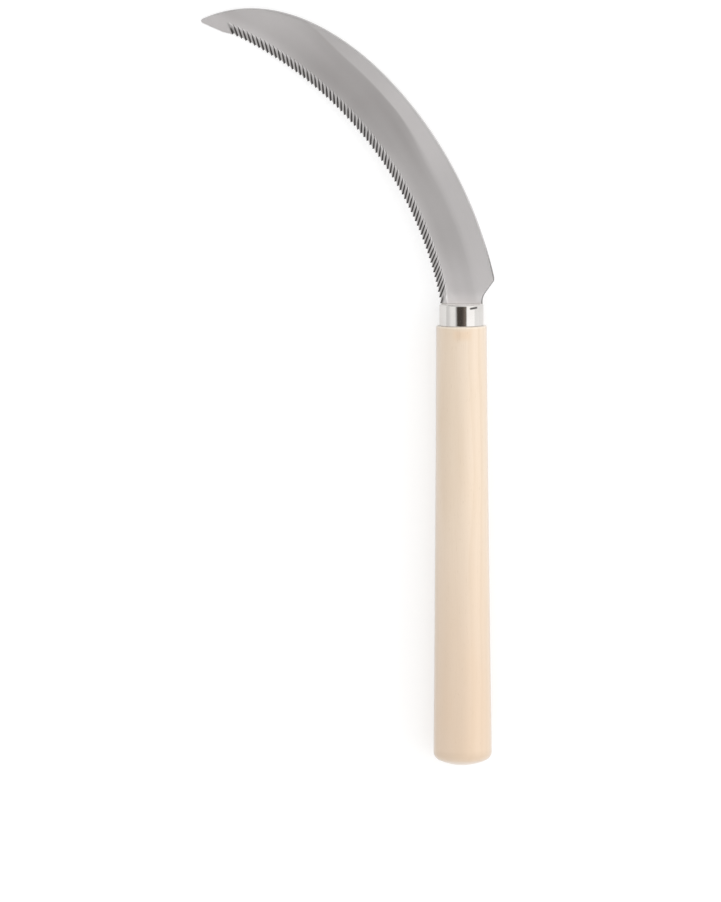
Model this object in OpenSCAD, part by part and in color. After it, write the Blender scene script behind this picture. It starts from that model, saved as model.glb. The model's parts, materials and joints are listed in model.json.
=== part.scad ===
// Hand sickle with a serrated blade. One stamped sheet of stainless steel is
// both blade and tang, and the tang sits in a turned wooden handle under a
// drawn metal cap. The tool lies as it would on a bench, on its handle and on
// the point of the blade, with the ground and toothed face up.

/* [Blade] */
// Thickness of the sheet that the blade is stamped from
blade_t = 1.5; // [1:0.1:2.4]
// Width of the blade from the edge to the back
blade_w = 23.4; // [19:0.2:30]
// Radius of the curved cutting edge
edge_r = 150; // [125:1:220]
// Angle between the handle and the edge where the edge leaves the cap
edge_lean = 10.3; // [6:0.1:16]
// Angle about the edge's centre where the back starts to draw in
belly_at = 15.8; // [12:0.1:24]
// Angle about the edge's centre where the back would meet the edge
point_at = 70.1; // [58:0.1:76]
// How full the back stays before it turns in to the point
belly_power = 6.3; // [4:0.1:9]
// Width of the blade where its rounded nose begins
nose_w = 1.3; // [1.2:0.1:3]
// Radius of the nose
nose_r = 0.95; // [0.5:0.05:1.2]

/* [Neck] */
// Width of the blade where it stands on the cap
neck_w = 17; // [14:0.2:17.6]
// Height of the neck's straight part
neck_h = 0.9; // [0.5:0.1:3]
// Radius of the hollow between neck and heel
neck_r = 6; // [3:0.5:9]
// Angle at which the neck flares out to the heel
neck_flare = 36; // [25:1:50]

/* [Grind] */
// Width of the hollow-ground band along the edge
grind_w = 15; // [8:0.5:18]
// Thickness that the grind leaves at the edge
edge_t = 1; // [0.7:0.05:1.3]
// Depth of the hollow below a flat grind
hollow_d = 0.2; // [0.1:0.02:0.3]

/* [Teeth] */
// Distance from tooth to tooth along the edge
tooth_pitch = 1.98; // [1.5:0.01:4]
// Distance from tooth to tooth beside the cap, where they stand wider
cap_pitch = 2.3; // [1.5:0.1:4]
// Number of teeth that stand at the wider distance
cap_teeth = 3; // [1:1:8]
// Depth of the notch between two teeth, seen from above
tooth_h = 0.65; // [0.4:0.05:0.9]
// Depth of a groove below the ridges beside it
groove_d = 0.22; // [0.15:0.01:0.35]
// Angle between the edge and the groove nearest the cap
groove_lean = 40; // [35:1:60]
// How many degrees steeper the groove nearest the point stands
lean_gain = 4; // [0:1:12]
// Share of a groove's width that its steep side takes
steep_share = 0.5; // [0.25:0.05:0.5]
// Length of edge between the cap and the first notch
first_notch = 0.3; // [0.3:0.1:4]
// Length of edge left plain before the point
plain_tip = 11.5; // [8:0.5:40]
// How far the plain edge stands out past the tips of the teeth
lip = 0.6; // [0.3:0.05:1]

/* [Tang] */
// Length of the tang below the neck
tang_len = 62; // [40:1:90]
// Width of the tang at the neck
tang_w = 11; // [8:0.5:12]
// Width of the tang at its end
tang_end_w = 6; // [4:0.5:8]
// Cut-off on the two corners of the tang's end
tang_chamfer = 1.5; // [0.5:0.1:1.9]

/* [Cap] */
// Outer diameter of the metal cap
cap_d = 17.9; // [17.7:0.1:19]
// Length of the cap
cap_len = 8.7; // [7:0.1:14]
// Wall of the cap
cap_wall = 0.6; // [0.4:0.05:1]
// Outer rounding of the cap's top edge
cap_round = 1.3; // [1.1:0.05:2]

/* [Handle] */
// Length of the handle below the cap
handle_len = 177.7; // [140:0.1:220]
// Diameter of the handle at its shoulder
shoulder_d = 20.3; // [19.2:0.1:22]
// Diameter of the handle's cylindrical end
butt_d = 23.5; // [22.2:0.1:27]
// Length of the handle's cylindrical end
butt_len = 30; // [20:1:50]
// Radius of the dome that closes the handle
dome_r = 23.5; // [16:0.5:40]
// Rounding between the dome and the cylindrical end
butt_round = 3.8; // [0.8:0.1:5]
// Rounding of the shoulder under the cap
shoulder_round = 0.5; // [0.3:0.05:0.9]
// Chamfer on the end of the tenon
tenon_chamfer = 1; // [0.9:0.05:1.6]

/* [Pin and fits] */
// Diameter of the cross pin that holds the tang
pin_d = 2.5; // [1.5:0.1:3]
// Clearance on each side of a seated piece
fit = 0.05; // [0.02:0.01:0.1]

/* [Hidden] */
$fn = 96;

// Extra length by which a cut runs out of its solid
past = 1;
// Overlap of neighbouring grooves, which keeps their ridges sharp
groove_lap = 1.03;
// Where the plain edge stands out furthest, as a share of its length
lip_share = 0.25;
back_steps = 90;
edge_steps = 72;
round_steps = 10;

function dir(a) = [cos(a), sin(a)];
function angle_of(v) = atan2(v.y, v.x);
function arc(centre, r, from, to, steps) =
    [for (i = [0:steps]) centre + r * dir(from + (to - from) * i / steps)];

// The blade is drawn in the plane of the sheet. The handle's axis is the y
// axis, the top of the cap is y = 0, and the edge curves to the left.
edge_centre = [-neck_w / 2, 0] - edge_r * dir(edge_lean);

// The back follows the edge at a constant width, then draws in to it.
function draw_in(a) = max(0, (a - belly_at) / (point_at - belly_at));
function width_at(a) = blade_w * (1 - pow(draw_in(a), belly_power));
function back_point(a) = edge_centre + (edge_r + width_at(a)) * dir(a);
nose_at = belly_at + (point_at - belly_at) * pow(1 - nose_w / blade_w, 1 / belly_power);

// Direction square to the back where the nose takes over
nose_rise = blade_w * belly_power * pow(draw_in(nose_at), belly_power - 1)
    / ((point_at - belly_at) * PI / 180);
nose_from = nose_at + atan(nose_rise / (edge_r + nose_w));
nose_centre = back_point(nose_at) - nose_r * dir(nose_from);

// Lengths along the edge from the cap to the ridge on a groove's near side
// and to its notch. The first grooves are wider than the rest.
edge_deg = 180 / PI / edge_r;
wider = cap_pitch - tooth_pitch;
function pitch_at(i) = i < cap_teeth ? cap_pitch : tooth_pitch;
function ridge_at(i) = first_notch - (1 - steep_share) * cap_pitch
    + i * tooth_pitch + min(i, cap_teeth) * wider;
function notch_at(i) = ridge_at(i) + (1 - steep_share) * pitch_at(i);
toothed_len = (point_at - edge_lean) / edge_deg - plain_tip - first_notch;
teeth = floor((toothed_len - cap_teeth * wider) / tooth_pitch);

// The plain edge runs from the last tooth over a low lip to the nose.
teeth_to = edge_lean + ridge_at(teeth) * edge_deg;
lip_at = teeth_to + lip_share * (nose_at - teeth_to);
lip_point = edge_centre + (edge_r - lip) * dir(lip_at);
to_nose = nose_centre - lip_point;
nose_to = angle_of(to_nose) + asin(nose_r / norm(to_nose)) + 90;

// The neck flares until it meets the back.
neck_centre = [neck_w / 2 + neck_r, neck_h];
flare_from = neck_centre + neck_r * dir(180 - neck_flare);
flare_dir = dir(90 - neck_flare);
flare_rel = flare_from - edge_centre;
flare_mid = flare_rel * flare_dir;
flare_run = sqrt(pow(edge_r + blade_w, 2) - flare_rel * flare_rel + flare_mid * flare_mid) - flare_mid;
heel_at = angle_of(flare_rel + flare_run * flare_dir);

// Outline of the tang, from its left shoulder to its right one, grown by a gap
function tang_outline(gap) = [
    [-tang_w / 2 - gap, 0],
    [-tang_w / 2 - gap, -cap_len],
    [-tang_end_w / 2 - gap, -tang_len + tang_chamfer],
    [-tang_end_w / 2 + tang_chamfer, -tang_len - gap],
    [tang_end_w / 2 - tang_chamfer, -tang_len - gap],
    [tang_end_w / 2 + gap, -tang_len + tang_chamfer],
    [tang_w / 2 + gap, -cap_len],
    [tang_w / 2 + gap, 0]
];

blade_outline = concat(
    tang_outline(0),
    [[neck_w / 2, 0]],
    arc(neck_centre, neck_r, 180, 180 - neck_flare, round_steps),
    [for (i = [0:back_steps]) back_point(heel_at + (nose_at - heel_at) * i / back_steps)],
    arc(nose_centre, nose_r, nose_from, nose_to, round_steps),
    [lip_point],
    arc(edge_centre, edge_r, teeth_to, edge_lean, edge_steps)
);

// Section of the hollow: the arc from the ground edge up to the full sheet
hollow_foot = [edge_r, edge_t - blade_t / 2];
hollow_head = [edge_r + grind_w, blade_t / 2];
hollow_chord = hollow_head - hollow_foot;
hollow_r = (hollow_chord * hollow_chord / 4 + hollow_d * hollow_d) / (2 * hollow_d);
hollow_centre = (hollow_foot + hollow_head) / 2
    + (hollow_r - hollow_d) * [-hollow_chord.y, hollow_chord.x] / norm(hollow_chord);

// A groove climbs by its depth over one notch depth, so the ridges end in
// points at the edge and the grooves run out on the ground face.
groove_slope = groove_d / tooth_h;
function lean_at(i) = groove_lean + lean_gain * i / (teeth - 1);

// Lengths along the handle's axis, down from the top of the cap
handle_end = -cap_len - handle_len;
dome_centre = handle_end + dome_r;
round_in = butt_d / 2 - butt_round;
round_y = dome_centre - sqrt(pow(dome_r - butt_round, 2) - round_in * round_in);
round_from = asin(round_in / (dome_r - butt_round));
taper_y = round_y + butt_len;
tenon_d = cap_d - 2 * cap_wall - 2 * fit;
tenon_y = -cap_wall - fit;
pin_y = (tenon_y - cap_len) / 2;
pin_len = sqrt(tenon_d * tenon_d - pin_d * pin_d) - 2 * fit;

// How the tool lies: the handle tapers, so its axis dips towards the blade,
// and it rolls until the point of the blade touches the ground.
shoulder_y = -cap_len - shoulder_round;
lie_pitch = atan((butt_d - shoulder_d) / 2 / (shoulder_y - taper_y));
axis_h = shoulder_d / 2 * cos(lie_pitch) + shoulder_y * sin(lie_pitch);
point_x = nose_r - nose_centre.x;
point_drop = axis_h / cos(lie_pitch) - nose_centre.y * tan(lie_pitch);
lie_roll = asin(point_drop / norm([point_x, blade_t / 2])) - atan(blade_t / 2 / point_x);

// Middle of the lying tool, which goes over the origin
lie_right = max([for (p = blade_outline) p.x]) * cos(lie_roll) + blade_t / 2 * sin(lie_roll);
lie_left = -point_x * cos(lie_roll);
lie_front = max([for (p = blade_outline) p.y + p.x * sin(lie_roll) * tan(lie_pitch)]) * cos(lie_pitch);
lie_rear = handle_end * cos(lie_pitch);
lie_middle = [(lie_left + lie_right) / 2, (lie_front + lie_rear) / 2];

module lie_down() {
    translate([-lie_middle.x, -lie_middle.y, axis_h])
        rotate([-lie_pitch, 0, 0])
            rotate([0, -lie_roll, 0])
                children();
}

// A section in the xy plane, turned about the handle's axis
module turned() {
    rotate([-90, 0, 0])
        rotate_extrude()
            children();
}

module sheet(points, thickness) {
    translate([0, 0, -thickness / 2])
        linear_extrude(thickness)
            polygon(points);
}

// What the wheel takes off the upper face, from the cap to the point
module hollow_grind() {
    intersection() {
        translate([edge_centre.x, edge_centre.y, 0])
            rotate_extrude($fn = 360)
                intersection() {
                    translate(hollow_centre)
                        circle(r = hollow_r, $fn = 720);
                    translate([edge_r - lip - past, -blade_t / 2])
                        square([lip + past + grind_w, blade_t + past]);
                }
        translate([edge_centre.x, 0, -blade_t])
            cube([2 * edge_r, 2 * edge_r, 3 * blade_t]);
    }
}

// One groove, with its floor on the x axis and its steep side to the left
module groove(lean, pitch) {
    climb = atan(groove_slope * sin(lean));
    width = pitch * sin(lean) * groove_lap;
    start = (tooth_h + lip + past) / sin(lean);
    length = start + (blade_t / groove_slope + past) / sin(lean);
    rotate([0, -climb, 0])
        translate([-start, 0, 0])
            rotate([90, 0, 90])
                linear_extrude(length)
                    polygon([
                        [0, 0],
                        [(1 - steep_share) * -width, groove_d * groove_lap],
                        [(1 - steep_share) * -width, 2 * blade_t],
                        [steep_share * width, 2 * blade_t],
                        [steep_share * width, groove_d * groove_lap]
                    ]);
}

module grooves() {
    for (i = [0:teeth - 1]) {
        at = edge_lean + notch_at(i) * edge_deg;
        notch = edge_centre + (edge_r + tooth_h) * dir(at);
        translate([notch.x, notch.y, -blade_t / 2])
            rotate([0, 0, at + 90 - lean_at(i)])
                groove(lean_at(i), pitch_at(i));
    }
}

module pin_hole() {
    translate([0, pin_y, 0])
        cylinder(h = cap_d, d = pin_d + 2 * fit, center = true);
}

module blade() {
    color("#b4b2b0")
        lie_down()
            difference() {
                sheet(blade_outline, blade_t);
                hollow_grind();
                grooves();
                pin_hole();
            }
}

module cap_section(d, top, rounding) {
    translate([0, -cap_len])
        square([d / 2 - rounding, cap_len + top]);
    translate([0, -cap_len])
        square([d / 2, cap_len + top - rounding]);
    translate([d / 2 - rounding, top - rounding])
        circle(r = rounding);
}

module ferrule() {
    color("#d9d8d6")
        lie_down()
            difference() {
                turned()
                    difference() {
                        cap_section(cap_d, 0, cap_round);
                        cap_section(cap_d - 2 * cap_wall, -cap_wall, cap_round - cap_wall);
                    }
                cube([tang_w + 2 * fit, 2 * (cap_wall + past), blade_t + 2 * fit], center = true);
            }
}

module handle_section() {
    polygon(concat(
        [
            [0, tenon_y],
            [tenon_d / 2 - tenon_chamfer, tenon_y],
            [tenon_d / 2, tenon_y - tenon_chamfer],
            [tenon_d / 2, -cap_len]
        ],
        arc([shoulder_d / 2 - shoulder_round, shoulder_y], shoulder_round, 90, 0, round_steps),
        [[butt_d / 2, taper_y]],
        arc([round_in, round_y], butt_round, 0, round_from - 90, round_steps),
        arc([0, dome_centre], dome_r, round_from - 90, -90, round_steps)
    ));
}

module handle() {
    color("#eddcc5")
        lie_down()
            difference() {
                turned()
                    handle_section();
                sheet(tang_outline(fit), blade_t + 2 * fit);
                pin_hole();
            }
}

module tang_pin() {
    color("#8f8f8f")
        lie_down()
            translate([0, pin_y, 0])
                cylinder(h = pin_len, d = pin_d, center = true);
}

blade();
ferrule();
handle();
tang_pin();
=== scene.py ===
# %% [markdown]
# A hand sickle with a serrated blade, dressed for a studio picture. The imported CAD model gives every
# piece its place and size. This script loads it as a fixed frame, builds each piece again with the
# finish and the small irregularities of the real one, and lights it on a pale floor.

# %% Load the frame
import json
import math
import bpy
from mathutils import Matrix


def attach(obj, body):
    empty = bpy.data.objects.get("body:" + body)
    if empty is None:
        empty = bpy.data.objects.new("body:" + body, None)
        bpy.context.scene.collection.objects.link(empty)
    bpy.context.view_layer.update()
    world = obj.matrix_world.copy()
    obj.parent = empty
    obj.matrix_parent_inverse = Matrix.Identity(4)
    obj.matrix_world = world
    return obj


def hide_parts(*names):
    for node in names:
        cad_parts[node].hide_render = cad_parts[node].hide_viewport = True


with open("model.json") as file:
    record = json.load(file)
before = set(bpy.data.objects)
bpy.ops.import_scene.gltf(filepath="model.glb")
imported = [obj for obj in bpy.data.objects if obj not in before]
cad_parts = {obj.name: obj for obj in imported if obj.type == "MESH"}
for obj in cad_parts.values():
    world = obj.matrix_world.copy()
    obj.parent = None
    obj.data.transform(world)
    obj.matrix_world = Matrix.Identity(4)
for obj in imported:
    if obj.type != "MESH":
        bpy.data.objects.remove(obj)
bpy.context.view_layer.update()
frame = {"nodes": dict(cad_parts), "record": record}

from types import SimpleNamespace

import bpy
import numpy as np
from mathutils import Matrix, Vector

MM = 0.001
BODY = "root"

# %% [markdown]
# The tool lies tilted: its handle tapers, and it rolls until the point of the blade touches the ground.
# Drawing it there would make every number awkward, so each piece is drawn in tool coordinates, in
# millimetres: the handle's axis is y, the top of the cap is y = 0, and the sheet of the blade lies in
# the xy plane. One matrix then lays everything down. It is read off the frame: the mount on the
# handle's end gives the axis, and the blade's flat underside gives the tilt.


# %% Find how the tool lies
def flat_side(mesh):
    """Outward normal of the largest flat area of a mesh."""
    sums = {}
    for face in mesh.polygons:
        key = tuple(round(c, 2) for c in face.normal)
        sums[key] = sums.get(key, Vector()) + face.normal * face.area
    return max(sums.values(), key=lambda total: total.length).normalized()


def reach(node, start, way):
    """How far a node's points lie from start along a direction: the least and the most, in mm."""
    along = [(v.co - start).dot(way) / MM for v in frame["nodes"][node].data.vertices]
    return min(along), max(along)


grip_end = frame["record"]["mounts"][0]
grip_point = Vector(grip_end["pos_m"])
up_handle = -Vector(grip_end["axis"]).normalized()
face_up = -flat_side(frame["nodes"]["blade"].data)
face_up = (face_up - up_handle * face_up.dot(up_handle)).normalized()
across = up_handle.cross(face_up)
cap_top = grip_point + up_handle * reach("ferrule", grip_point, up_handle)[1] * MM

lie_down = Matrix((across, up_handle, face_up)).transposed().to_4x4()
lie_down.translation = cap_top
from_mm = lie_down @ Matrix.Scale(MM, 4)
stand_up = from_mm.inverted()
print("Top of the cap in mm:", [round(c / MM, 2) for c in cap_top])
print("Roll of the blade in degrees:", round(math.degrees(math.asin(across.z)), 3))

# %% [markdown]
# Blade, cap and handle meet in the cap, so they share a few sizes. The sheet's thickness, the cap's
# wall and the pin are the real sizes that the CAD model has too. The size of the cap is measured on the
# frame, so it can't drift from it.

# %% Sizes that the pieces share, in mm
SHEET = 1.5
CAP_WALL = 0.6
PIN_R = 1.25
FIT = 0.05

CAP_R = reach("ferrule", cap_top, across)[1]
CAP_LEN = -reach("ferrule", cap_top, up_handle)[0]
TENON_TOP = -CAP_WALL - FIT
PIN_Y = (TENON_TOP - CAP_LEN) / 2
print("Cap: radius", round(CAP_R, 2), "length", round(CAP_LEN, 2), "pin at", round(PIN_Y, 2))

# %% [markdown]
# The camera looks down on the tool from the side of the blade, a few degrees off square, which shows a
# thin crescent of the cap's top. The picture was taken with a long lens, so it has hardly any
# perspective. The aim, the roll and the scale put the blade's nose, the heel and the butt where they
# are in the picture of 721 by 902 pixels.

# %% Camera
PICTURE_H = 902
MM_PER_PIXEL = 0.4024
CAMERA_AIM = (-40.76, -59.2, 0)
CAMERA_TILT = 5.0
CAMERA_ROLL = -0.215
CAMERA_FAR = 4000.0
SIGHT_ENDS_M = 100
SENSOR = 36.0


def add_camera():
    """A camera far above the aim, in tool coordinates, tilted and rolled by a few degrees."""
    data = bpy.data.cameras.new("camera")
    data.sensor_width = SENSOR
    data.lens = SENSOR * CAMERA_FAR / (PICTURE_H * MM_PER_PIXEL)
    data.clip_end = SIGHT_ENDS_M
    camera = bpy.data.objects.new("camera", data)
    bpy.context.scene.collection.objects.link(camera)
    tilt = Matrix.Rotation(math.radians(-CAMERA_TILT), 4, "X")
    turned = tilt @ Matrix.Rotation(math.radians(CAMERA_ROLL), 4, "Z")
    placed = Matrix.Translation(Vector(CAMERA_AIM)) @ turned @ Matrix.Translation((0, 0, CAMERA_FAR))
    where = from_mm @ placed
    camera.matrix_world = Matrix.LocRotScale(where.translation, where.to_quaternion(), None)
    bpy.context.scene.camera = camera
    return camera


camera = add_camera()
print("Camera at", [round(c, 3) for c in camera.location], "lens", round(camera.data.lens, 1))

# %% [markdown]
# A node tree can hold a long formula, but drawn as boxes and wires it is hard to read. This small class
# lets the script write the formula as algebra: each sum or product of two Num values adds one Math
# node. The same class serves geometry trees and shader trees, because both know the Math node.


# %% Algebra for node trees
class Num:
    """A number that a node tree works out at each point."""

    def __init__(self, tree, out):
        self.tree = tree
        self.out = out

    def math(self, name, *others):
        node = self.tree.nodes.new("ShaderNodeMath")
        node.operation = name
        for socket, value in zip(node.inputs, (self, *others)):
            plug(self.tree, value, socket)
        return Num(self.tree, node.outputs[0])

    def __add__(self, other):
        return self.math("ADD", other)

    def __sub__(self, other):
        return self.math("SUBTRACT", other)

    def __mul__(self, other):
        return self.math("MULTIPLY", other)

    def __truediv__(self, other):
        return self.math("DIVIDE", other)

    def __neg__(self):
        return self * -1

    __radd__ = __add__
    __rmul__ = __mul__

    def __rsub__(self, other):
        return -self + other

    def clamped(self):
        node = self.tree.nodes.new("ShaderNodeClamp")
        plug(self.tree, self, node.inputs[0])
        return Num(self.tree, node.outputs[0])


def plug(tree, value, socket):
    """Feeds a socket from a Num, from another socket, or with a plain value."""
    if isinstance(value, Num):
        tree.links.new(value.out, socket)
    elif isinstance(value, bpy.types.NodeSocket):
        tree.links.new(value, socket)
    else:
        socket.default_value = value


def smaller(a, b):
    return a.math("MINIMUM", b) if isinstance(a, Num) else np.minimum(a, b)


def larger(a, b):
    return a.math("MAXIMUM", b) if isinstance(a, Num) else np.maximum(a, b)


def kept_share(value):
    """A share that stays between 0 and 1."""
    return smaller(larger(value, 0.0), 1.0)


# %% [markdown]
# The next helpers add nodes by name and give a tree its named inputs and outputs. With band, a formula
# can say that something happens only between two places, and fades in and out at their borders.


# %% Nodes by name
def add_node(tree, kind, settings=None, **inputs):
    """Adds a node, sets its own settings, and plugs its inputs by name, with _ for a space."""
    node = tree.nodes.new(kind)
    for name, value in (settings or {}).items():
        setattr(node, name, value)
    for name, value in inputs.items():
        wanted = name.replace("_", " ")
        socket = next(s for s in node.inputs if s.name == wanted and s.enabled)
        plug(tree, value, socket)
    return node


def new_tree(name, kind, inputs, outputs):
    """A node tree with named sockets: each input is a name, a socket type and a start value or None."""
    tree = bpy.data.node_groups.new(name, kind)
    for label, socket_type, value in inputs:
        socket = tree.interface.new_socket(name=label, in_out="INPUT", socket_type=socket_type)
        if value is not None:
            socket.default_value = value
    for label, socket_type in outputs:
        tree.interface.new_socket(name=label, in_out="OUTPUT", socket_type=socket_type)
    entry = tree.nodes.new("NodeGroupInput")
    leave = tree.nodes.new("NodeGroupOutput")
    return tree, entry, leave


def split(tree, vector):
    node = add_node(tree, "ShaderNodeSeparateXYZ", Vector=vector)
    return [Num(tree, out) for out in node.outputs]


def joined(tree, x, y, z):
    return add_node(tree, "ShaderNodeCombineXYZ", X=x, Y=y, Z=z).outputs[0]


def noise(tree, vector, scale=1.0, detail=2.0, roughness=0.5):
    node = add_node(tree, "ShaderNodeTexNoise", Vector=vector, Scale=scale, Detail=detail)
    plug(tree, roughness, node.inputs["Roughness"])
    return Num(tree, node.outputs[0])


def ramp(tree, value, low, high, low_out=0.0, high_out=1.0):
    """A smooth step from low_out to high_out as value goes from low to high."""
    node = add_node(
        tree,
        "ShaderNodeMapRange",
        {"interpolation_type": "SMOOTHSTEP"},
        Value=value,
        From_Min=low,
        From_Max=high,
        To_Min=low_out,
        To_Max=high_out,
    )
    return Num(tree, node.outputs[0])


def band(tree, value, start, full, fading, end):
    """A smooth band: it rises from 0 at start to 1 at full, and falls from 1 at fading to 0 at end."""
    return ramp(tree, value, start, full) * ramp(tree, value, fading, end, 1.0, 0.0)


# %% [markdown]
# A piece whose form follows a rule is made in two steps. A net, which is a tube of faces without a
# shape, carries the numbers that the rule needs on its points. A Geometry Nodes tree then puts every
# point in its place, closes the seams, keeps the sharp edges sharp and sets the finish. The result is
# turned into a plain mesh, so nothing live is left in the scene.

# %% Rules in Geometry Nodes
SEAM = 0.002


def new_rule(name, sizes, finishes, result):
    """A geometry tree that takes a net, named sizes with their start values, and finishes."""
    inputs = [("Net", "NodeSocketGeometry", None)]
    inputs += [(label, "NodeSocketFloat", value) for label, value in sizes.items()]
    inputs += [(label, "NodeSocketMaterial", None) for label in finishes]
    tree, entry, leave = new_tree(name, "GeometryNodeTree", inputs, [(result, "NodeSocketGeometry")])
    size = {label: Num(tree, entry.outputs[label]) for label in sizes}
    return tree, entry, leave, size


def attribute(tree, name):
    """A number that the net carries, inside a geometry tree."""
    node = add_node(tree, "GeometryNodeInputNamedAttribute", {"data_type": "FLOAT"}, Name=name)
    return Num(tree, node.outputs[0])


def shaped(tree, geometry, place, sharp_from):
    """Moves the points, closes the seams, and keeps edges sharp that bend by more than some degrees."""
    placed = add_node(tree, "GeometryNodeSetPosition", Geometry=geometry, Position=place)
    closed = add_node(tree, "GeometryNodeMergeByDistance", Geometry=placed.outputs[0], Distance=SEAM)
    bend = Num(tree, add_node(tree, "GeometryNodeInputMeshEdgeAngle").outputs[0])
    shaded = add_node(
        tree,
        "GeometryNodeSetShadeSmooth",
        {"domain": "EDGE"},
        Geometry=closed.outputs[0],
        Selection=bend.math("GREATER_THAN", math.radians(sharp_from)),
        Shade_Smooth=False,
    )
    return add_node(tree, "GeometryNodeRealizeInstances", Geometry=shaded.outputs[0]).outputs[0]


def net(length, girth, point_numbers, face_numbers):
    """A tube of faces, length points long and girth points round, with numbers stored on it."""
    faces = [
        (
            i * girth + j,
            i * girth + (j + 1) % girth,
            (i + 1) * girth + (j + 1) % girth,
            (i + 1) * girth + j,
        )
        for i in range(length - 1)
        for j in range(girth)
    ]
    mesh = bpy.data.meshes.new("net")
    mesh.from_pydata([(i, j, 0) for i in range(length) for j in range(girth)], [], faces)
    mesh.shade_smooth()
    for domain, numbers in (("POINT", point_numbers), ("FACE", face_numbers)):
        for name, values in numbers.items():
            layer = mesh.attributes.new(name, "FLOAT", domain)
            layer.data.foreach_set("value", np.asarray(values, np.float32).ravel())
    return mesh


def run_rule(name, mesh, tree, values):
    """Runs a rule on a net and gives back the plain mesh object that it makes, laid down in its place."""
    holder = bpy.data.objects.new(name + "_rule", mesh)
    bpy.context.scene.collection.objects.link(holder)
    modifier = holder.modifiers.new("rule", "NODES")
    modifier.node_group = tree
    for socket in tree.interface.items_tree:
        if socket.in_out == "INPUT" and socket.name in values:
            modifier[socket.identifier] = values[socket.name]
    made = bpy.data.meshes.new_from_object(holder.evaluated_get(bpy.context.evaluated_depsgraph_get()))
    bpy.data.objects.remove(holder)
    piece = bpy.data.objects.new(name, made)
    made.name = name
    bpy.context.scene.collection.objects.link(piece)
    made.transform(from_mm)
    print(name, "has", len(made.vertices), "points and", len(made.polygons), "faces")
    return piece


# %% [markdown]
# Steel and wood show their working: the wheel leaves fine lines, the plane leaves fibres. Those
# patterns follow the tool and not the room, so every material starts from tool coordinates. A Mapping
# node undoes the matrix that laid the tool down, and gives millimetres.


# %% Helpers for materials
def new_material(name, metallic=0.0):
    material = bpy.data.materials.new(name)
    material.use_nodes = True
    tree = material.node_tree
    shader = tree.nodes["Principled BSDF"]
    shader.inputs["Metallic"].default_value = metallic
    return material, tree, shader


def tool_place(tree):
    """The point in tool coordinates, in mm: across the handle, along it and up."""
    here = tree.nodes.new("ShaderNodeTexCoord")
    mapping = add_node(
        tree,
        "ShaderNodeMapping",
        {"vector_type": "POINT"},
        Location=stand_up.translation,
        Rotation=lie_down.to_3x3().inverted().to_euler(),
        Scale=(1 / MM, 1 / MM, 1 / MM),
    )
    tree.links.new(here.outputs["Object"], mapping.inputs["Vector"])
    return split(tree, mapping.outputs["Vector"])


def stored(tree, name):
    """A number that the net carries, inside a material, such as how far a point is round the back."""
    return Num(tree, add_node(tree, "ShaderNodeAttribute", {"attribute_name": name}).outputs["Fac"])


def blend_colour(tree, share, first, second):
    node = tree.nodes.new("ShaderNodeMix")
    node.data_type = "RGBA"
    plug(tree, share, node.inputs["Factor"])
    for socket, value in zip([s for s in node.inputs if s.type == "RGBA"], (first, second)):
        plug(tree, value if isinstance(value, bpy.types.NodeSocket) else (*value, 1), socket)
    return next(s for s in node.outputs if s.type == "RGBA")


def layered(tree, colour, *layers):
    """Lays tints over a colour, one after the other, each with its share."""
    for share, tint in layers:
        colour = blend_colour(tree, share, colour, tint)
    return colour


def bump(tree, height, strength, depth):
    """Turns a height into a normal. The depth is in mm."""
    return add_node(tree, "ShaderNodeBump", Strength=strength, Distance=depth * MM, Height=height).outputs[0]


def set_finish(material, shader, colour, roughness, normal):
    tree = material.node_tree
    for name, value in (("Base Color", colour), ("Roughness", roughness), ("Normal", normal)):
        plug(tree, value, shader.inputs[name])
    print("Finish", material.name, "has", len(tree.nodes), "nodes")


# %% [markdown]
# Ground steel is never a mirror. A wheel or a belt leaves lines of many widths, some deeper than
# others, and they spread the highlight. The group stretches noise along one direction, at two scales,
# and gives a height for the bump, a roughness and a tone. The blade, its grooves, the cap and the pin
# use it with their own directions and strengths.

# %% Shader group for worked metal
DEEP_LINES = (0.62, 0.72)
DEEP_WIDER = 0.23
DEEP_SHORTER = 0.3
CLOUDS_PER_MM = 0.09


def build_worked_metal():
    tree, entry, leave = new_tree(
        "Worked metal",
        "ShaderNodeTree",
        [
            ("Vector", "NodeSocketVector", None),
            ("Line Spacing", "NodeSocketFloat", 0.08),
            ("Stretch", "NodeSocketFloat", 40.0),
            ("Roughness", "NodeSocketFloat", 0.3),
            ("Roughness Spread", "NodeSocketFloat", 0.08),
        ],
        [("Height", "NodeSocketFloat"), ("Roughness", "NodeSocketFloat"), ("Tone", "NodeSocketFloat")],
    )
    x, y, z = split(tree, entry.outputs["Vector"])
    spacing = Num(tree, entry.outputs["Line Spacing"])
    stretch = Num(tree, entry.outputs["Stretch"])
    narrow = joined(tree, x / spacing, y / spacing / stretch, z / spacing)
    fine = noise(tree, narrow, detail=3.0, roughness=0.7)
    wide = joined(tree, x / spacing * DEEP_WIDER, y / spacing / stretch * DEEP_SHORTER, z)
    deep = ramp(tree, noise(tree, wide, detail=1.0), *DEEP_LINES)
    cloud = noise(tree, entry.outputs["Vector"], CLOUDS_PER_MM, detail=3.0)
    rough = Num(tree, entry.outputs["Roughness"])
    spread = Num(tree, entry.outputs["Roughness Spread"])
    plug(tree, fine * 0.7 + deep * 0.3, leave.inputs["Height"])
    plug(tree, rough + spread * (fine + cloud - 1.0), leave.inputs["Roughness"])
    plug(tree, cloud * 0.6 + fine * 0.4, leave.inputs["Tone"])
    return tree


worked_metal = build_worked_metal()
print("Group", worked_metal.name, "has", len(worked_metal.nodes), "nodes")


def worked(tree, vector, spacing, stretch, roughness, spread):
    """Places the group in a material, with lines along the vector's y: height, roughness and tone."""
    node = tree.nodes.new("ShaderNodeGroup")
    node.node_tree = worked_metal
    values = (vector, spacing, stretch, roughness, spread)
    for socket, value in zip(node.inputs, values):
        plug(tree, value, socket)
    return [Num(tree, out) for out in node.outputs]


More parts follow.
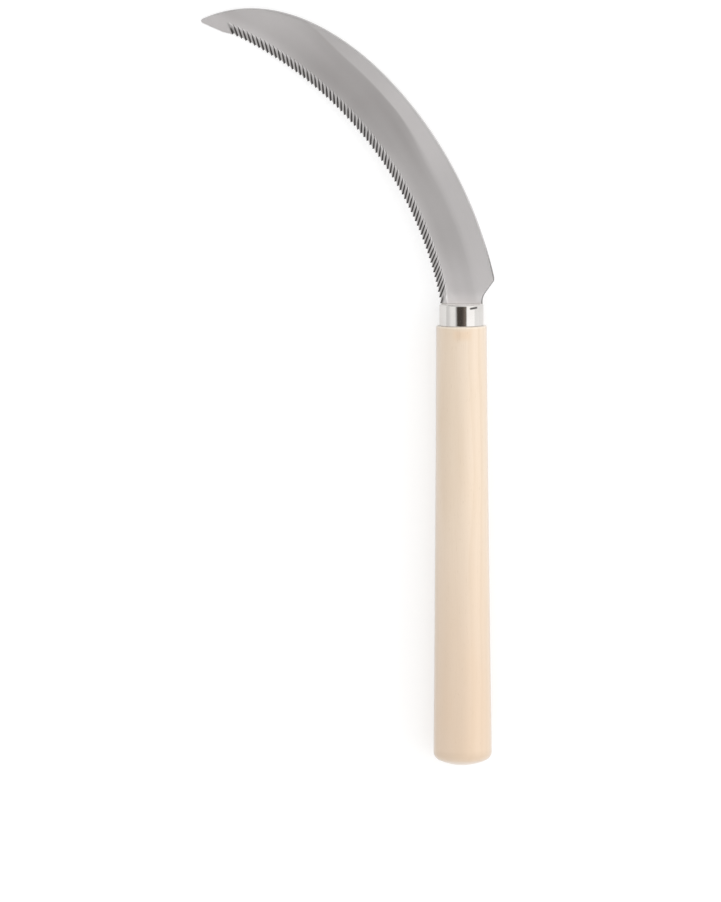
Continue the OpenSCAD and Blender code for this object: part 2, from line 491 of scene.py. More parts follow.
# %% [markdown]
# The blade is the hardest piece. On the real one a wheel hollows the upper face along the edge, and a
# chisel then cuts slanted grooves whose ridges end in the points of the teeth. Cutting 72 grooves with
# booleans would leave long thin faces that shade badly, so the blade is made as a net instead. Its
# sizes are those of the real sheet. All of them are measured from the edge, which is an arc: turns in
# degrees about its centre, lengths along it from the cap, and widths outwards from it. In the names, W
# is a width, R a radius and H a height. The belly is where the back starts to draw in, and the lip is
# the plain stretch between the last tooth and the nose.

# %% Sizes of the blade, in mm and degrees
BLADE_W = 23.4
EDGE_R = 150.0
EDGE_LEAN = 10.3
BELLY_AT = 15.8
POINT_AT = 70.1
BELLY_POWER = 6.3
NOSE_W = 1.3
NOSE_R = 0.95
NECK_W = 17.0
NECK_H = 0.9
NECK_R = 6.0
NECK_FLARE = 36.0
LIP = 0.6
LIP_SHARE = 0.25

PITCH = 1.98
CAP_PITCH = 2.3
CAP_TEETH = 3
FIRST_RIDGE = -0.85
TOOTHED = 143.52
NOTCH = 0.75
TEETH = round((TOOTHED - CAP_TEETH * (CAP_PITCH - PITCH)) / PITCH)
EDGE_DEG = 180 / math.pi / EDGE_R


def direction(angle):
    return np.array([math.cos(math.radians(angle)), math.sin(math.radians(angle))])


def turn_to(point):
    """Turn of a point about the edge's centre, in degrees."""
    return math.degrees(math.atan2(*(point - edge_centre)[::-1]))


def ridge_at(number):
    """Turn at which a ridge ends at the edge, counted in teeth from the cap. The first teeth stand wider."""
    along = FIRST_RIDGE + number * PITCH + np.minimum(number, CAP_TEETH) * (CAP_PITCH - PITCH)
    return EDGE_LEAN + along * EDGE_DEG


edge_centre = np.array([-NECK_W / 2, 0]) - EDGE_R * direction(EDGE_LEAN)
teeth_to = ridge_at(TEETH)
print("Centre of the edge:", np.round(edge_centre, 3))
print(TEETH, "teeth, the last ends at", round(teeth_to, 2), "degrees")

# %% [markdown]
# The back of the blade draws in towards the point by a power of the turn, so it stays nearly parallel
# to the edge for long and then closes quickly. A small round nose joins it to the lip below the last
# tooth, and a flared neck joins the heel to the cap.


# %% Corners of the outline
def draw_in(angle):
    return max(0.0, (angle - BELLY_AT) / (POINT_AT - BELLY_AT))


def back_point(angle):
    width = BLADE_W * (1 - draw_in(angle) ** BELLY_POWER)
    return edge_centre + (EDGE_R + width) * direction(angle)


nose_at = BELLY_AT + (POINT_AT - BELLY_AT) * (1 - NOSE_W / BLADE_W) ** (1 / BELLY_POWER)
nose_rise = BLADE_W * BELLY_POWER * draw_in(nose_at) ** (BELLY_POWER - 1) / math.radians(POINT_AT - BELLY_AT)
nose_from = nose_at + math.degrees(math.atan(nose_rise / (EDGE_R + NOSE_W)))
nose_centre = back_point(nose_at) - NOSE_R * direction(nose_from)
nose_mid = turn_to(nose_centre)
nose_turn = nose_mid + math.degrees(math.asin(NOSE_R / np.linalg.norm(nose_centre - edge_centre)))

lip_point = edge_centre + (EDGE_R - LIP) * direction(teeth_to + LIP_SHARE * (nose_at - teeth_to))
to_nose = nose_centre - lip_point
nose_to = math.degrees(math.atan2(to_nose[1], to_nose[0]) + math.asin(NOSE_R / np.linalg.norm(to_nose))) + 90

neck_centre = np.array([NECK_W / 2 + NECK_R, NECK_H])
flare_from = neck_centre + NECK_R * direction(180 - NECK_FLARE)
flare_rel = flare_from - edge_centre
flare_mid = flare_rel @ direction(90 - NECK_FLARE)
flare_run = math.sqrt((EDGE_R + BLADE_W) ** 2 - flare_rel @ flare_rel + flare_mid**2) - flare_mid
heel_point = flare_from + flare_run * direction(90 - NECK_FLARE)
print("Heel at", np.round(heel_point, 2), "nose at", np.round(nose_centre, 2), "turn", round(nose_turn, 2))

# %% [markdown]
# The columns of the net start at the teeth, lean with the grooves, and swing straight towards the back.
# A rake says how far a groove travels towards the point for each mm that it climbs. The grooves lean
# over most at the cap, and past the last tooth the rake fades until the column is square to the edge.

# %% How the columns lean
GROOVE_LEAN = 40.0
CAP_LEAN = 31.0
CAP_LEAN_ENDS = 15.0
LEAN_GAIN = 4.0
FADE_AFTER = 0.2
GROOVE_RAKE = 1 / math.tan(math.radians(GROOVE_LEAN))
CAP_RAKE = 1 / math.tan(math.radians(CAP_LEAN))
POINT_RAKE = 1 / math.tan(math.radians(GROOVE_LEAN + LEAN_GAIN))
RAKE_FADES = teeth_to + FADE_AFTER
RAKE_ENDS = nose_turn
SWEEP_BENDS = 3.8
SWEEP_ENDS = 9.0
TURN_TRIES = 30


def rake(turn):
    """Rake of the column that starts at a turn."""
    along = kept_share((turn - EDGE_LEAN) / (RAKE_FADES - EDGE_LEAN))
    near_cap = kept_share(1.0 - (turn - EDGE_LEAN) / (CAP_LEAN_ENDS * EDGE_DEG))
    fade = kept_share((RAKE_ENDS - turn) / (RAKE_ENDS - RAKE_FADES))
    return fade * (GROOVE_RAKE + along * (POINT_RAKE - GROOVE_RAKE) + near_cap * (CAP_RAKE - GROOVE_RAKE))


def sweep(out):
    """Path of a column: straight over the grooves, then bending until it runs square to the edge."""
    near = smaller(larger(out, 0.0), SWEEP_ENDS)
    bend = larger(near - SWEEP_BENDS, 0.0)
    return near - bend * bend / (2 * (SWEEP_ENDS - SWEEP_BENDS))


def drift(turn, out):
    """Angle that a column has moved on at a distance out from the edge circle, in degrees."""
    return (sweep(out) - float(sweep(NOTCH))) * rake(turn) * EDGE_DEG


def turn_of(angle, out):
    """The column that passes a point of the outline, found by trying again from the last answer."""
    turn = angle
    for _ in range(TURN_TRIES):
        turn = angle - drift(turn, out)
    return turn


print("Rakes from the cap to the point:", [round(r, 2) for r in (CAP_RAKE, GROOVE_RAKE, POINT_RAKE)])

# %% [markdown]
# The outline is now written as the net needs it: for each column, how far out its first and its last
# point lie. Four stretches give it: the base at the cap, the neck and the back, the nose, and the lip.

# %% Outline of the blade
NECK_STEPS = 30
BACK_STEPS = 600
NOSE_STEPS = 60
DENSE = 0.05


def arc_points(centre, radius, start, stop, steps):
    return [centre + radius * direction(a) for a in np.linspace(start, stop, steps)]


def dense(points):
    """Fills the straight stretches between points."""
    filled = []
    for a, b in zip(points, points[1:]):
        count = max(1, int(np.linalg.norm(b - a) / DENSE))
        filled += [a + (b - a) * i / count for i in range(count)]
    return np.array(filled + [points[-1]])


def by_turn(points):
    """An outline as distance out from the edge circle for each turn, for np.interp."""
    rel = np.array(points) - edge_centre
    out = np.hypot(rel[:, 0], rel[:, 1]) - EDGE_R
    turn = turn_of(np.degrees(np.arctan2(rel[:, 1], rel[:, 0])), out)
    return turn, out


neck_arc = arc_points(neck_centre, NECK_R, 180, 180 - NECK_FLARE, NECK_STEPS)
neck_points = dense([np.array([NECK_W / 2, 0]), *neck_arc, heel_point])
back_points = [back_point(a) for a in np.linspace(turn_to(heel_point), nose_at, BACK_STEPS)[1:]]
upper_nose = arc_points(nose_centre, NOSE_R, nose_from, nose_mid + 90, NOSE_STEPS)[1:]
lower_nose = arc_points(nose_centre, NOSE_R, nose_mid + 90, nose_to, NOSE_STEPS)
lip_points = dense([edge_centre + EDGE_R * direction(teeth_to), lip_point, lower_nose[-1]])

outer_turn, outer_out = by_turn([*neck_points, *back_points, *upper_nose])
base_turn, base_out = by_turn(dense([np.array([NECK_W / 2, 0]), np.array([-NECK_W / 2, 0])]))
lip_turn, lip_out = by_turn([*lip_points, *lower_nose[::-1]])
inner_turn = np.concatenate([base_turn, lip_turn])
inner_out = np.concatenate([base_out, lip_out])
print("Turns run from", round(base_turn[0], 2), "by", round(base_turn[-1], 2), "and", round(lip_turn[0], 2))

# %% [markdown]
# The columns stand close where the form changes: on both sides of each ridge and valley, in the corner
# at the cap and round the nose. The rows run round the section: up the groove, over the hollow, over
# the flat, round the back and home along the underside. Every point of the net carries the numbers that
# the rule needs, as attributes.

# %% Net of the blade
STEEP_SHARE = 0.56
BASE_COLUMNS = 26
BASE_CROWDING = 0.8
BESIDE = 0.03
LEAST_GAP = 0.02
LAST_FLANK = 0.06
LIP_COLUMNS = 30
NOSE_COLUMNS = 16
GROOVE_ROWS = 5
HOLLOW_ROWS = 19
FLAT_ROWS = 8
ROUND_ROWS = 8
COLUMN_NUMBERS = ("turn", "inner", "outer")
ROW_NUMBERS = ("bevel", "hollow", "flat", "curl", "side")


def blade_columns():
    """Turns of the columns, from the base by the teeth and the lip to the nose."""
    base = np.linspace(0, 1, BASE_COLUMNS) ** BASE_CROWDING
    base = np.interp(base, np.linspace(0, 1, len(base_turn)), base_turn)
    gentle = 1 - STEEP_SHARE
    on_gentle = [0, BESIDE, gentle / 3, gentle * 2 / 3, gentle - BESIDE, gentle]
    places = np.array([*on_gentle, gentle + BESIDE, (1 + gentle) / 2, 1 - BESIDE])
    fine = [turn for i in range(-1, TEETH) for turn in ridge_at(i + places) if base_turn[0] < turn]
    fine = np.array([*fine, teeth_to])
    coarse = [turn for turn in base if turn < base_turn[-1] and np.abs(turn - fine).min() > LEAST_GAP]
    lip_end = lip_turn[-len(lower_nose)]
    lip = np.linspace(teeth_to + LAST_FLANK * EDGE_DEG, lip_end, LIP_COLUMNS)
    quarter = np.linspace(0, math.pi / 2, NOSE_COLUMNS)[1:]
    nose = nose_turn - (nose_turn - lip_end) * (1 - np.sin(quarter))
    return np.array(sorted([*coarse, *fine, *lip, *nose]))


def even_steps(first, last, count):
    """Even steps after first, up to last."""
    return np.linspace(first, last, count + 1)[1:]


def blade_rows():
    """Each row's share of groove, hollow and flat passed so far, its turn round the back, and its side."""
    rows = [(0, 0, 0, 0, 1)]
    rows += [(b, 0, 0, 0, 1) for b in even_steps(0, 1, GROOVE_ROWS)]
    rows += [(1, h, 0, 0, 1) for h in even_steps(0, 1, HOLLOW_ROWS)]
    rows += [(1, 1, s, 0, 1) for s in even_steps(0, 1, FLAT_ROWS)]
    rows += [(1, 1, 1, c, 1) for c in even_steps(0, 90, ROUND_ROWS)]
    rows += [(1, 1, 1, c, 0) for c in np.linspace(90, 0, ROUND_ROWS)]
    rows += [(1, 1, s, 0, 0) for s in even_steps(1, 0, 3)]
    rows += [(1, h, 0, 0, 0) for h in even_steps(1, 0, 5)]
    rows += [(b, 0, 0, 0, 0) for b in even_steps(1, 0, 2)]
    return np.array(rows, float)


def blade_net():
    turns = blade_columns()
    rows = blade_rows()
    by_column = (turns, np.interp(turns, inner_turn, inner_out), np.interp(turns, outer_turn, outer_out))
    points = {name: np.repeat(values, len(rows)) for name, values in zip(COLUMN_NUMBERS, by_column)}
    points |= {name: np.tile(values, len(turns)) for name, values in zip(ROW_NUMBERS, rows.T)}
    middle = (turns[1:] + turns[:-1]) / 2
    ridges = np.arange(-1, TEETH + 1)
    tooth = np.interp(middle, ridge_at(ridges), ridges)
    steep = (tooth % 1 > 1 - STEEP_SHARE) & (tooth > 0) & (middle < teeth_to)
    steep |= (middle > teeth_to) & (middle < teeth_to + LAST_FLANK * EDGE_DEG)
    print("Net of the blade:", len(turns), "columns and", len(rows), "rows")
    return net(len(turns), len(rows), points, {"steep": np.outer(steep, np.arange(len(rows)) < GROOVE_ROWS)})


# %% [markdown]
# The blade is stamped from stainless sheet. Its back keeps the satin of the rolled sheet, with faint
# lines along the strip. The wheel that ground the hollow ran across the edge, so in that band the lines
# run across. Both follow the curve of the edge: the pattern is laid out by length along it and width
# out from it. The band's border isn't even, because the wheel strayed outwards near the point.

# %% Places on the blade
GRIND_W = 15.0
LINE_STRAYS = (48.0, 76.0, 0.3, 2.0)
LINE_STRAYS_MORE = (100.0, 126.0, 0.0, 2.6)
LINE_SOFT = (50.0, 74.0, 1.7, 0.5)


def grind_line(tree, along):
    """How wide the ground band is at a length along the edge."""
    return GRIND_W + ramp(tree, along, *LINE_STRAYS) + ramp(tree, along, *LINE_STRAYS_MORE)


def blade_place(tree):
    """Where a point of the blade lies, in mm: out from the edge, along it, high, above the cap."""
    x, y, z = tool_place(tree)
    right = x - float(edge_centre[0])
    up = y - float(edge_centre[1])
    radius = (right * right + up * up).math("SQRT")
    along = up.math("ARCTAN2", right) * EDGE_R - math.radians(EDGE_LEAN) * EDGE_R
    at = SimpleNamespace(out=radius - EDGE_R, along=along, high=z, above_cap=y)
    at.past_line = at.out - grind_line(tree, along)
    at.upper = ramp(tree, z, 0.0, 0.1)
    at.ground = ramp(tree, at.past_line / ramp(tree, along, *LINE_SOFT), -1.0, 1.0, 1.0, 0.0) * at.upper
    return at


# %% [markdown]
# Flat steel mirrors only one patch of the studio, so the brighter and darker stretches that a real blade
# shows as it mirrors its surroundings are painted into its colour. Each has its place: painted highlight
# at the heel, at the point and along the teeth, painted shade in the middle of the ground band, and a
# painted shadow just above the cap. A range reads start, end, share at the start and share at the end. A
# band reads start, full, fading and end. All lengths are in mm.

# %% Tones of the blade
SHEET_TINT = (0.785, 0.767, 0.768)
GROUND_TINT = (0.72, 0.702, 0.7)
PAINTED_HIGHLIGHT = (1.0, 0.976, 0.98)
PAINTED_DULL_SHADE = (0.52, 0.499, 0.497)
PAINTED_FLANK_SHADE = (0.4, 0.385, 0.38)
LINE_TINT = (0.35, 0.34, 0.33)
ROLLED_OVER = (0.8, 0.79, 0.785)
EDGE_TINT = (0.2, 0.195, 0.19)
PAINTED_NECK_SHADOW = (0.36, 0.3, 0.26)

HEEL_BRIGHT = (0.0, 27.0, 0.66, 0.0)
CAP_BRIGHT = (0.0, 5.0, 0.25, 0.0)
POINT_BRIGHT = (96.0, 136.0, 0.0, 0.36)
TEETH_BRIGHT = (3.0, 8.0, 0.5, 0.0)
FLAT_BRIGHT = 0.26
FLAT_NEAR_POINT = (86.0, 108.0, 0.0, 0.22)
SHOULDER_BAND = (40.0, 58.0, 78.0, 92.0)
MIDDLE_BAND = (45.0, 86.0, 98.0, 132.0)
UNDER_LINE = (-6.0, -2.5, -1.5, 0.0)
SHADE_PATCH_ALONG = (34.0, 62.0, 62.0, 90.0)
SHADE_PATCH_ACROSS = (-8.5, -4.0, -4.0, -0.6)


def painted_highlight_share(tree, at):
    """How much painted highlight the steel gets, on the ground band and on the flat."""
    heel = ramp(tree, at.along, *HEEL_BRIGHT) + ramp(tree, at.above_cap, *CAP_BRIGHT)
    on_band = heel + ramp(tree, at.along, *POINT_BRIGHT) + ramp(tree, at.out, *TEETH_BRIGHT)
    on_flat = FLAT_BRIGHT + heel * 0.45 + band(tree, at.along, *SHOULDER_BAND) * 0.3
    on_flat = on_flat - ramp(tree, at.along, *FLAT_NEAR_POINT)
    return smaller(at.ground * on_band + (1 - at.ground) * on_flat, 1.0) * at.upper


def painted_shade_share(tree, at):
    """How much painted shade the ground band gets: in its middle, under its border, and in one patch."""
    middle = band(tree, at.along, *MIDDLE_BAND)
    under_line = band(tree, at.past_line, *UNDER_LINE)
    shade_patch = band(tree, at.along, *SHADE_PATCH_ALONG) * band(tree, at.past_line, *SHADE_PATCH_ACROSS)
    return at.ground * (middle * 0.5 + under_line * 0.15 + shade_patch * 0.36)


def flank_shade_share(tree, at):
    """Where the gentle flanks of the grooves get painted shade, between the first groove and the last."""
    grooves = band(tree, at.out, 0.2, 0.9, 3.0, 4.0) * stored(tree, "side")
    grooves = grooves * ramp(tree, at.along - at.out, TOOTHED - 2.0, TOOTHED - 0.6, 1.0, 0.0)
    return grooves * ramp(tree, at.along - at.out * CAP_RAKE, -2.6, -1.5) * 0.75


# %% [markdown]
# The finish of the blade mixes the two patterns and lays the tones over them. Where the sheet was
# stamped, its back edge is rolled over and dark below. The grooves have a finish of their own: a little
# torn, as the chisel leaves them, and dark with painted shade for the shade inside the deep grooves. The
# painted shade fades where the first and the last stroke ran out.

# %% Finish of the blade and of its grooves
PAINTED_RECESS_SHADE = (0.062, 0.057, 0.056)
PAINTED_RECESS_PALER = (0.165, 0.156, 0.152)
EDGE_FROM_HEEL = (8.0, 22.0, 0.92, 0.4)
MATT_AT_CAP = (0.0, 6.0, 0.14, 0.0)
PAINTED_SHADOW_AT_CAP = (0.1, 0.5, 0.3, 0.0)
FIRST_STROKE = (0.4, 0.9, 1.0, 0.0)
LAST_STROKE = (TOOTHED - 3.5, TOOTHED - 2.9)


def blade_material():
    material, tree, shader = new_material("satin_blade_steel", metallic=1.0)
    at = blade_place(tree)
    strip = joined(tree, at.out, at.along, at.high)
    square = joined(tree, at.along, at.out, at.high)
    rolled = worked(tree, strip, spacing=0.1, stretch=90.0, roughness=0.42, spread=0.08)
    wheel = worked(tree, square, spacing=0.07, stretch=60.0, roughness=0.4, spread=0.1)
    height, roughness, tone = (at.ground * w + (1 - at.ground) * r for w, r in zip(wheel, rolled))
    roughness = roughness + ramp(tree, at.above_cap, *MATT_AT_CAP)
    flat = stored(tree, "flat")
    edge = ramp(tree, at.along, *EDGE_FROM_HEEL) * ramp(tree, stored(tree, "curl"), 0, 16)
    colour = layered(
        tree,
        blend_colour(tree, at.ground, SHEET_TINT, GROUND_TINT),
        # Painted highlight: brighter at the heel, by the cap, at the point and along the teeth.
        (painted_highlight_share(tree, at), PAINTED_HIGHLIGHT),
        # Painted shade: darker in the middle of the ground band, under its border and in one patch.
        (painted_shade_share(tree, at), PAINTED_DULL_SHADE),
        # Painted shade over the grooved strip.
        (flank_shade_share(tree, at), PAINTED_FLANK_SHADE),
        (ramp(tree, tone, 0.3, 0.7, 0.0, 0.12), LINE_TINT),
        (ramp(tree, flat, 0.84, 0.93) * ramp(tree, flat, 0.96, 1.0, 0.45, 0.0), ROLLED_OVER),
        (edge, EDGE_TINT),
        # Painted shadow: the sheet is darker just above the cap, where the slot shades it.
        (ramp(tree, at.above_cap, *PAINTED_SHADOW_AT_CAP), PAINTED_NECK_SHADOW),
    )
    set_finish(material, shader, colour, roughness, bump(tree, height, strength=0.25, depth=0.02))
    return material


def cut_material():
    material, tree, shader = new_material("cut_groove_steel", metallic=1.0)
    at = blade_place(tree)
    torn = joined(tree, at.high, at.along, at.out)
    height, roughness, tone = worked(tree, torn, spacing=0.05, stretch=20.0, roughness=0.5, spread=0.1)
    first = ramp(tree, at.along - at.out * CAP_RAKE, *FIRST_STROKE) * ramp(tree, at.out, 1.2, 2.4, 0.15, 0.9)
    last = ramp(tree, at.along - at.out * POINT_RAKE, *LAST_STROKE) * ramp(tree, at.out, 1.8, 2.6, 0.0, 0.5)
    # Painted shade: the steep flanks are dark for the shade inside the deep grooves, and fade to the ground's
    # tone where a stroke runs out.
    colour = blend_colour(tree, ramp(tree, tone, 0.3, 0.7, 0.0, 0.4), PAINTED_RECESS_SHADE, PAINTED_RECESS_PALER)
    colour = blend_colour(tree, first + last, colour, GROUND_TINT)
    set_finish(material, shader, colour, roughness, bump(tree, height, strength=0.3, depth=0.02))
    return material


blade_steel = blade_material()
cut_steel = cut_material()

# %% [markdown]
# The rule of the blade starts with its teeth. For each column it works out which tooth it belongs to,
# how high it stands there between valley and ridge, and how deep that tooth's notch is, because no two
# strokes of the chisel are quite alike.

# %% Rule of the teeth
BLADE_SIZES = {
    "Edge Radius": EDGE_R,
    "Sheet": SHEET,
    "Edge Thickness": 1.0,
    "Grind Width": GRIND_W,
    "Hollow Depth": 0.2,
    "Crease Softness": 0.1,
    "First Ridge": FIRST_RIDGE,
    "Tooth Pitch": PITCH,
    "Pitch at Cap": CAP_PITCH,
    "Teeth at Cap": float(CAP_TEETH),
    "Teeth": float(TEETH),
    "Notch Depth": NOTCH,
    "Groove Depth": 0.22,
    "Steep Share": STEEP_SHARE,
    "Flank Taper": 0.9,
    "Upper Rounding": 0.6,
    "Lower Rounding": 0.2,
    "Unevenness": 0.03,
    "Seed": 1.0,
}
NOTCH_SPREAD = 0.16
SEED_STEP = 0.37
SNAP = 1000
LAST_SNAP = 50
CLEAR_OF_GROOVES = 9


def tooth_place(size, turn):
    """Counts a column in teeth from the cap, from valley to valley. Late is 1 past the last tooth."""
    per_degree = size["Edge Radius"] * math.pi / 180
    along = (turn - EDGE_LEAN) * per_degree - size["First Ridge"]
    wider = size["Teeth at Cap"] * size["Pitch at Cap"]
    at_cap = (wider - along).math("GREATER_THAN", 0.0)
    pitch = size["Tooth Pitch"] + at_cap * (size["Pitch at Cap"] - size["Tooth Pitch"])
    ridge = at_cap * along / size["Pitch at Cap"]
    ridge = ridge + (1 - at_cap) * (size["Teeth at Cap"] + (along - wider) / size["Tooth Pitch"])
    count = ridge - (1 - size["Steep Share"])
    past = count - size["Teeth"] + 1 - size["Steep Share"]
    late = (past * LAST_SNAP).clamped()
    return SimpleNamespace(count=count, phase=count.math("FRACT"), pitch=pitch, past=past, late=late)


def groove_lift(size, tooth):
    """How high a column stands in its groove: 0 in the valley, 1 on the ridge, more past the last tooth."""
    steep = size["Steep Share"]
    lift = smaller(tooth.phase / steep, (1 - tooth.phase) / (1 - steep))
    early = ((steep - 1 - tooth.count) * SNAP).clamped()
    return larger(lift, early) * (1 - tooth.late) + tooth.late * CLEAR_OF_GROOVES


def notch_depth(tree, size, tooth):
    valley = (tooth.count + 1 - size["Steep Share"]).math("FLOOR")
    seed = valley * SEED_STEP + size["Seed"]
    chance = add_node(tree, "ShaderNodeTexWhiteNoise", {"noise_dimensions": "1D"}, W=seed)
    return size["Notch Depth"] * (1 + (Num(tree, chance.outputs["Value"]) - 0.5) * NOTCH_SPREAD)


# %% [markdown]
# Two more parts of the rule give the section. The ground face is a shallow hollow that meets the flat
# in a soft crease. A groove runs out where its floor comes up through that face, and its steep flank
# narrows on the way, which makes the slim dark wedges that the picture shows.

# %% Rule of the ground face and the flanks
RELAX_WITHIN = 3
NARROWS_LATE = 4.0
PLAIN_TEETH = 2.5


def ground_height(size, line, out):
    """Height of the ground face, with its crease a little soft."""
    half = size["Sheet"] / 2
    share = out / line
    foot = size["Edge Thickness"] - half
    ground = foot + (half - foot) * share - size["Hollow Depth"] * 4 * share * (1 - share)
    return ground.math("SMOOTH_MIN", half, size["Crease Softness"])


def flank_shift(tree, size, tooth, bevel, beyond_groove):
    """How far a column moves on, in teeth, so that the steep flank narrows towards the end of its groove."""
    steep = size["Steep Share"]
    relaxed = (beyond_groove / RELAX_WITHIN).clamped()
    narrowing = size["Flank Taper"] * bevel.math("POWER", NARROWS_LATE) * (1 - relaxed)
    narrowing = narrowing * ramp(tree, tooth.count, -0.5, 0.5)
    narrow = steep * (1 - narrowing)
    on_steep = tooth.phase.math("LESS_THAN", steep)
    shifted = on_steep * tooth.phase * (1 - narrowing)
    shifted = shifted + (1 - on_steep) * (narrow + (tooth.phase - steep) * (1 - narrow) / (1 - steep))
    shifted = shifted - tooth.phase + steep * narrowing / 2
    plain = tooth.past / PLAIN_TEETH
    after_last = steep * narrowing / 2 * (plain - 1) * plain.math("LESS_THAN", 1.0)
    return shifted * (1 - tooth.late) + after_last * tooth.late


# %% [markdown]
# The whole rule puts these together. It works out where the groove starts and where it runs out on the
# ground face, where the face ends in its crease and the flat in the rounded back, and from these the
# distance from the edge and the height of every point. Its last nodes close the seams and hand out the
# two finishes.

# %% Rule of the blade
RUN_OUT_GUESS = 3.4
RUN_OUT_TRIES = 3
MOST_ROUNDING = 0.45
WAVES_PER_DEGREE = 0.35
WAVES_PER_MM = 0.08
WAVY_WHERE_WIDE = (2.0, 8.0)
BLADE_SHARP = 13.5


def build_blade_rule():
    tree, entry, leave, size = new_rule("Serrated blade", BLADE_SIZES, ("Steel", "Cut Steel"), "Blade")
    turn, inner, outer = (attribute(tree, name) for name in COLUMN_NUMBERS)
    bevel, hollow, flat, curl, side = (attribute(tree, name) for name in ROW_NUMBERS)
    half = size["Sheet"] / 2
    per_degree = size["Edge Radius"] * math.pi / 180
    tooth = tooth_place(size, turn)
    lift = groove_lift(size, tooth)
    notch = notch_depth(tree, size, tooth)
    slope = size["Groove Depth"] / size["Notch Depth"]
    line = grind_line(tree, (turn - EDGE_LEAN) * per_degree) + (size["Grind Width"] - GRIND_W)

    foot = larger(inner, notch * (1 - lift))
    runs_out = notch * 0 + RUN_OUT_GUESS
    for _ in range(RUN_OUT_TRIES):
        runs_out = notch * (1 - smaller(lift, 1.0)) + (ground_height(size, line, runs_out) + half) / slope
    radius = side * size["Upper Rounding"] + (1 - side) * size["Lower Rounding"]
    radius = smaller(radius, (outer - foot) * MOST_ROUNDING)
    back = outer - radius
    runs_out = larger(foot, smaller(runs_out, back))
    crease = larger(runs_out, smaller(line, back))
    out = foot + bevel * (runs_out - foot) + hollow * (crease - runs_out) + flat * (back - crease)

    angle = curl.math("RADIANS")
    drop = radius * (1 - angle.math("COSINE"))
    wave = noise(tree, joined(tree, turn * WAVES_PER_DEGREE, out * WAVES_PER_MM, size["Seed"]))
    waviness = (wave - 0.5) * size["Unevenness"] * hollow * ramp(tree, outer - foot, *WAVY_WHERE_WIDE)
    groove = slope * (out - notch * (1 - lift)) - half
    upper = smaller(ground_height(size, line, out) + waviness, groove) - drop
    height = side * upper + (1 - side) * (drop - half)
    out = out + radius * angle.math("SINE")
    turn = turn + flank_shift(tree, size, tooth, bevel, out - runs_out) * tooth.pitch / per_degree

    turned = (turn + drift(turn, out)).math("RADIANS")
    reach_out = size["Edge Radius"] + out
    x = reach_out * turned.math("COSINE") + float(edge_centre[0])
    y = reach_out * turned.math("SINE") + float(edge_centre[1])
    made = shaped(tree, entry.outputs["Net"], joined(tree, x, y, height), BLADE_SHARP)
    steel = add_node(tree, "GeometryNodeSetMaterial", Geometry=made, Material=entry.outputs["Steel"])
    cut = add_node(
        tree,
        "GeometryNodeSetMaterial",
        Geometry=steel.outputs[0],
        Selection=attribute(tree, "steep").math("GREATER_THAN", 0.5),
        Material=entry.outputs["Cut Steel"],
    )
    tree.links.new(cut.outputs[0], leave.inputs[0])
    return tree


blade_finishes = {"Steel": blade_steel, "Cut Steel": cut_steel}
blade = run_rule("toothed_blade", blade_net(), build_blade_rule(), blade_finishes)

# %% [markdown]
# The tang is the part of the sheet that nobody sees: it runs down inside the handle, narrows to its
# end, and is held by a cross pin. Blade and tang are one stamping, so they are united into one closed
# shape. Two helpers make the shapes for this, a prism and a rod. A prism later cuts the slot of the cap
# too.


# %% Prisms, rods and cuts
def prism(name, outline, low, high):
    """A flat outline in tool coordinates, drawn counterclockwise, with a thickness from low to high."""
    count = len(outline)
    points = [(*p, low) for p in outline] + [(*p, high) for p in outline]
    walls = [(i, (i + 1) % count, (i + 1) % count + count, i + count) for i in range(count)]
    mesh = bpy.data.meshes.new(name)
    mesh.from_pydata(points, [], [tuple(range(count))[::-1], tuple(range(count, 2 * count)), *walls])
    mesh.transform(from_mm)
    piece = bpy.data.objects.new(name, mesh)
    bpy.context.scene.collection.objects.link(piece)
    return piece


def block(name, half, bottom, top, low, high):
    """A rectangular prism, as wide on both sides of the handle's axis."""
    return prism(name, [(-half, bottom), (half, bottom), (half, top), (-half, top)], low, high)


def rod(name, height, radius, length, sides=64):
    """A round bar that crosses the handle's axis at a height and stands square to the sheet."""
    turns = [2 * math.pi * i / sides for i in range(sides)]
    outline = [(radius * math.cos(a), height + radius * math.sin(a)) for a in turns]
    return prism(name, outline, -length / 2, length / 2)


def combine(piece, operation, others):
    """Joins closed shapes to a piece, or cuts them out of it, and deletes them."""
    for other in others:
        modifier = piece.modifiers.new("combine", "BOOLEAN")
        modifier.operation = operation
        modifier.solver = "MANIFOLD"
        modifier.object = other
    made = bpy.data.meshes.new_from_object(piece.evaluated_get(bpy.context.evaluated_depsgraph_get()))
    piece.modifiers.clear()
    piece.data = made
    for other in others:
        bpy.data.objects.remove(other)
    print(piece.name, "now has", len(made.polygons), "faces")


# %% [markdown]
# Tang and blade meet along a line, and closed shapes that only touch don't join. A short lug inside the
# sheet laps both by a millimetre, one union makes a single piece of the three, and the hole for the pin
# is drilled through it.

# %% Unite the tang with the blade
TANG_W = 11.0
TANG_END_W = 6.0
TANG_CHAMFER = 1.5
LUG_REACH = 1.0
LUG_HALF = 3.0
LUG_LOW = -0.6
LUG_HIGH = 0.1
HAIR = 0.01
TANG_LEN = -reach("blade", cap_top, up_handle)[0]


def tang_outline():
    """Outline of the tang, counterclockwise from its upper left corner."""
    wide = TANG_W / 2
    narrow = TANG_END_W / 2
    end = (-narrow + TANG_CHAMFER, -TANG_LEN)
    left = [(-wide, -HAIR), (-wide, -CAP_LEN), (-narrow, -TANG_LEN + TANG_CHAMFER), end]
    return left + [(-x, y) for x, y in left[::-1]]


tang = prism("tang", tang_outline(), -SHEET / 2, SHEET / 2)
lug = block("lug", LUG_HALF, -LUG_REACH, LUG_REACH, LUG_LOW, LUG_HIGH)
combine(blade, "UNION", [tang, lug])
combine(blade, "DIFFERENCE", [rod("tang_hole", PIN_Y, PIN_R + FIT, 4 * SHEET)])
print("The tang reaches", round(TANG_LEN, 2), "mm into the handle")

